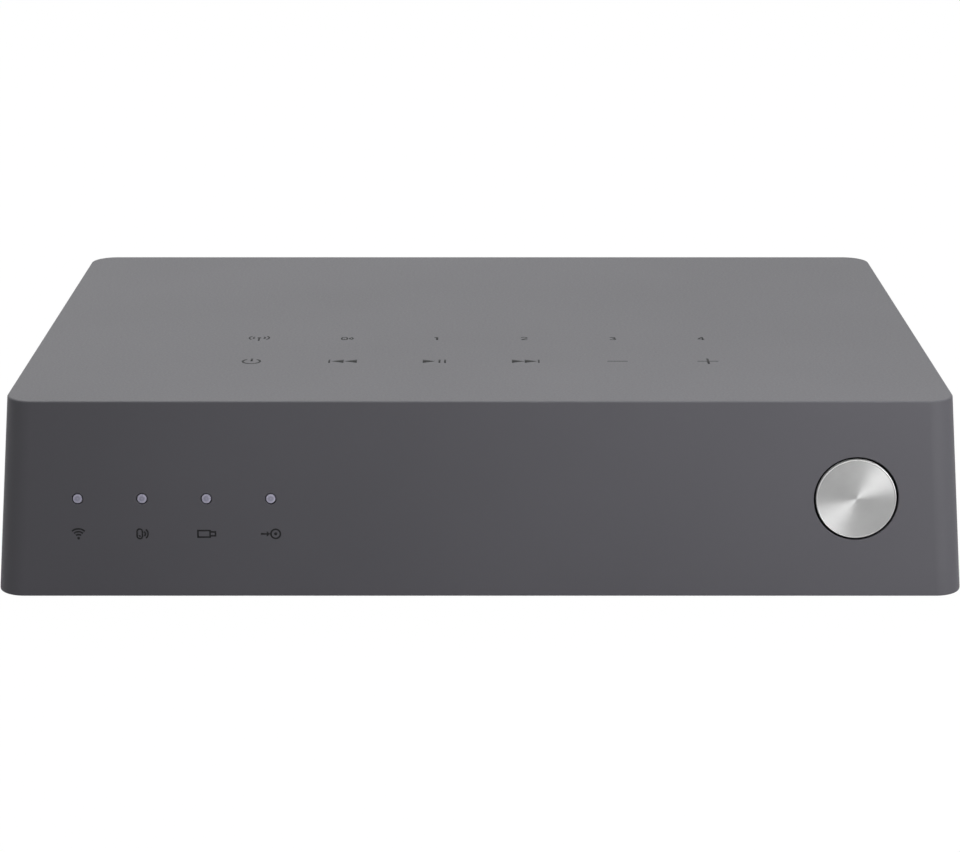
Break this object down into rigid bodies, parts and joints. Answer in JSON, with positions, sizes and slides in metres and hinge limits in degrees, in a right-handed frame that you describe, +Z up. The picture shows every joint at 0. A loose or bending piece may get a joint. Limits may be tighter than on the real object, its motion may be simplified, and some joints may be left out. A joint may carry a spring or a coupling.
{
  "type": "network music streamer",
  "caption": "Low tapered grey box that streams music: sprung metal front button, front lights, touch keys on top and a recessed bay of sockets at the back.",
  "frame": {"origin": "on the floor under the middle of the case", "axes": "+X to the right as seen from the front, +Y to the back, +Z up"},
  "size_m": [0.2, 0.14, 0.0425],
  "materials": {
    "shell": "fine soft-touch grain",
    "base": "moulded grain",
    "panel": "moulded grain",
    "rubber": "matt",
    "black_screw": "black zinc",
    "bright_screw": "zinc",
    "cap_metal": "spun face with a bevelled edge",
    "black_plastic": "moulded",
    "switch_stem": "moulded",
    "lens": "milky",
    "light": "clear over white",
    "board": "solder mask",
    "foam": "foam tape",
    "copper": "copper foil",
    "ribbon": "flat film",
    "module": "solder mask",
    "tinplate": "tin plate",
    "lead": "thin jacket",
    "chip": "moulded",
    "can": "sleeved can",
    "gold": "gold plate",
    "nickel": "nickel plate",
    "white_plastic": "moulded",
    "red_plastic": "moulded"
  },
  "bodies": {
    "case": {"upper_shell": "shell", "base_plate": "base", "rear_panel": "panel", "foot_1": "rubber", "foot_2": "rubber", "foot_3": "rubber", "foot_4": "rubber", "base_screws": "black_screw", "panel_screws": "black_screw", "front_board_screws": "bright_screw", "main_board_screws": "bright_screw", "button_guide": "black_plastic", "switch_body": "black_plastic", "light_guide": "black_plastic", "optical_socket": "black_plastic", "power_socket": "black_plastic", "line_in_block": "black_plastic", "line_out_block": "black_plastic", "network_insert": "black_plastic", "light_pipe_1": "lens", "light_pipe_2": "lens", "light_pipe_3": "lens", "light_pipe_4": "lens", "light_1": "light", "light_2": "light", "light_3": "light", "light_4": "light", "front_board": "board", "touch_board": "board", "main_board": "board", "touch_spacer": "foam", "touch_electrodes": "copper", "antenna_left": "copper", "antenna_right": "copper", "touch_ribbon": "ribbon", "front_ribbon": "ribbon", "ribbon_sockets": "ribbon", "wireless_module": "module", "wireless_shield": "tinplate", "network_shield": "tinplate", "memory_shell": "tinplate", "antenna_lead_left": "lead", "antenna_lead_right": "lead", "processor": "chip", "converter": "chip", "capacitors": "can", "network_contacts": "gold", "power_pin": "nickel", "line_sleeve_1": "nickel", "line_sleeve_2": "nickel", "line_sleeve_3": "nickel", "line_sleeve_4": "nickel", "memory_tongue": "white_plastic", "line_insulators_left": "white_plastic", "line_insulators_right": "red_plastic"},
    "front_button": {"button_cap": "cap_metal", "button_plunger": "black_plastic", "switch_stem": "switch_stem"},
    "optical_flap": {"optical_shutter": "black_plastic"}
  },
  "joints": [
    {"name": "button_press", "type": "slide", "parent": "case", "child": "front_button", "axis": [0, 0.9973, -0.073], "range_m": [0, 0.0008], "stiffness_N_per_m": 1500},
    {"name": "shutter_swing", "type": "hinge", "parent": "case", "child": "optical_flap", "pos_m": [0.006, 0.059, 0.01815], "axis": [-1, 0, 0], "range_deg": [0, 80], "stiffness_Nm_per_rad": 0.0005}
  ]
}
